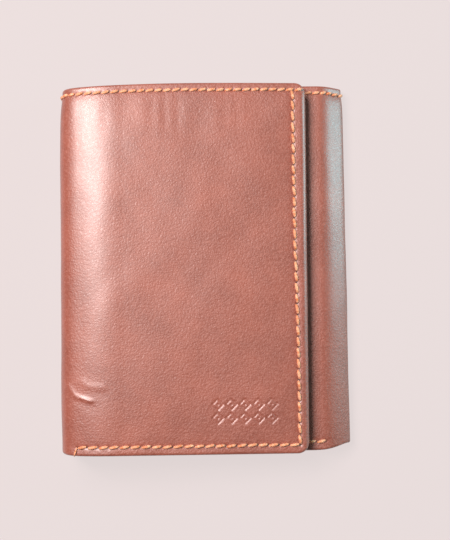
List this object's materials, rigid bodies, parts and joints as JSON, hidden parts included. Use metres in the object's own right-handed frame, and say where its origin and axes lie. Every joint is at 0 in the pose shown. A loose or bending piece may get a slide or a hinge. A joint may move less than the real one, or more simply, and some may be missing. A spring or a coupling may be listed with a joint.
{
  "type": "trifold wallet",
  "caption": "Trifold leather wallet with contrast stitching, a full-width bill compartment open at the top, card pockets and a clear identity window.",
  "frame": {"origin": "middle of the closed wallet's footprint, on the back cover's outer face", "axes": "+X towards the right fold, +Y towards the mouth of the bill compartment, +Z out of the front leaf"},
  "size_m": [0.086, 0.11, 0.0199],
  "materials": {
    "cover_leather": "smooth glossy pigmented leather with a fine grain and a pearly sheen, red-brown",
    "wall_leather": "thin smooth leather, dark red-brown",
    "pocket_leather": "thin smooth leather with turned mouths, red-brown",
    "frame_leather": "thin smooth leather frame with turned edges, red-brown",
    "lining_cloth": "fine plain-woven lining, dark brown",
    "clear_window": "thin clear flexible film",
    "thread": "thick waxed orange sewing thread"
  },
  "bodies": {
    "centre": {"centre_cover": "cover_leather", "centre_lining": "lining_cloth", "centre_bill_wall": "wall_leather", "centre_card_pocket_1": "pocket_leather", "centre_card_pocket_2": "pocket_leather", "centre_card_pocket_3": "pocket_leather", "centre_hem_thread": "thread", "centre_bottom_thread": "thread"},
    "left_fold": {"left_fold_cover": "cover_leather", "left_fold_lining": "lining_cloth", "left_fold_bill_wall": "wall_leather", "left_fold_hem_thread": "thread"},
    "front_leaf": {"front_leaf_cover": "cover_leather", "front_leaf_lining": "lining_cloth", "front_leaf_bill_wall": "wall_leather", "front_leaf_id_window": "clear_window", "front_leaf_id_frame": "frame_leather", "front_leaf_hem_thread": "thread", "front_leaf_bottom_thread": "thread", "front_leaf_edge_thread": "thread"},
    "right_fold": {"right_fold_cover": "cover_leather", "right_fold_lining": "lining_cloth", "right_fold_bill_wall": "wall_leather", "right_fold_hem_thread": "thread"},
    "inner_leaf": {"inner_leaf_cover": "cover_leather", "inner_leaf_lining": "lining_cloth", "inner_leaf_bill_wall": "wall_leather", "inner_leaf_card_pocket_1": "pocket_leather", "inner_leaf_card_pocket_2": "pocket_leather", "inner_leaf_card_pocket_3": "pocket_leather", "inner_leaf_hem_thread": "thread", "inner_leaf_bottom_thread": "thread", "inner_leaf_edge_thread": "thread"}
  },
  "joints": [
    {"name": "left_fold_turn", "type": "hinge", "parent": "centre", "child": "left_fold", "pos_m": [-0.0412, 0, 0.0018], "axis": [0, -1, 0], "range_deg": [0, 90]},
    {"name": "front_leaf_turn", "type": "hinge", "parent": "left_fold", "child": "front_leaf", "pos_m": [-0.0412, 0, 0.0182], "axis": [0, -1, 0], "range_deg": [0, 95]},
    {"name": "right_fold_turn", "type": "hinge", "parent": "centre", "child": "right_fold", "pos_m": [0.0415, 0, 0.0015], "axis": [0, 1, 0], "range_deg": [0, 90]},
    {"name": "inner_leaf_turn", "type": "hinge", "parent": "right_fold", "child": "inner_leaf", "pos_m": [0.0415, 0, 0.0069], "axis": [0, 1, 0], "range_deg": [0, 45]}
  ],
  "couplings": [
    {"joint": "front_leaf_turn", "follows": "left_fold_turn", "ratio": 1.0555},
    {"joint": "right_fold_turn", "follows": "left_fold_turn", "ratio": 1},
    {"joint": "inner_leaf_turn", "follows": "left_fold_turn", "ratio": 0.5}
  ]
}
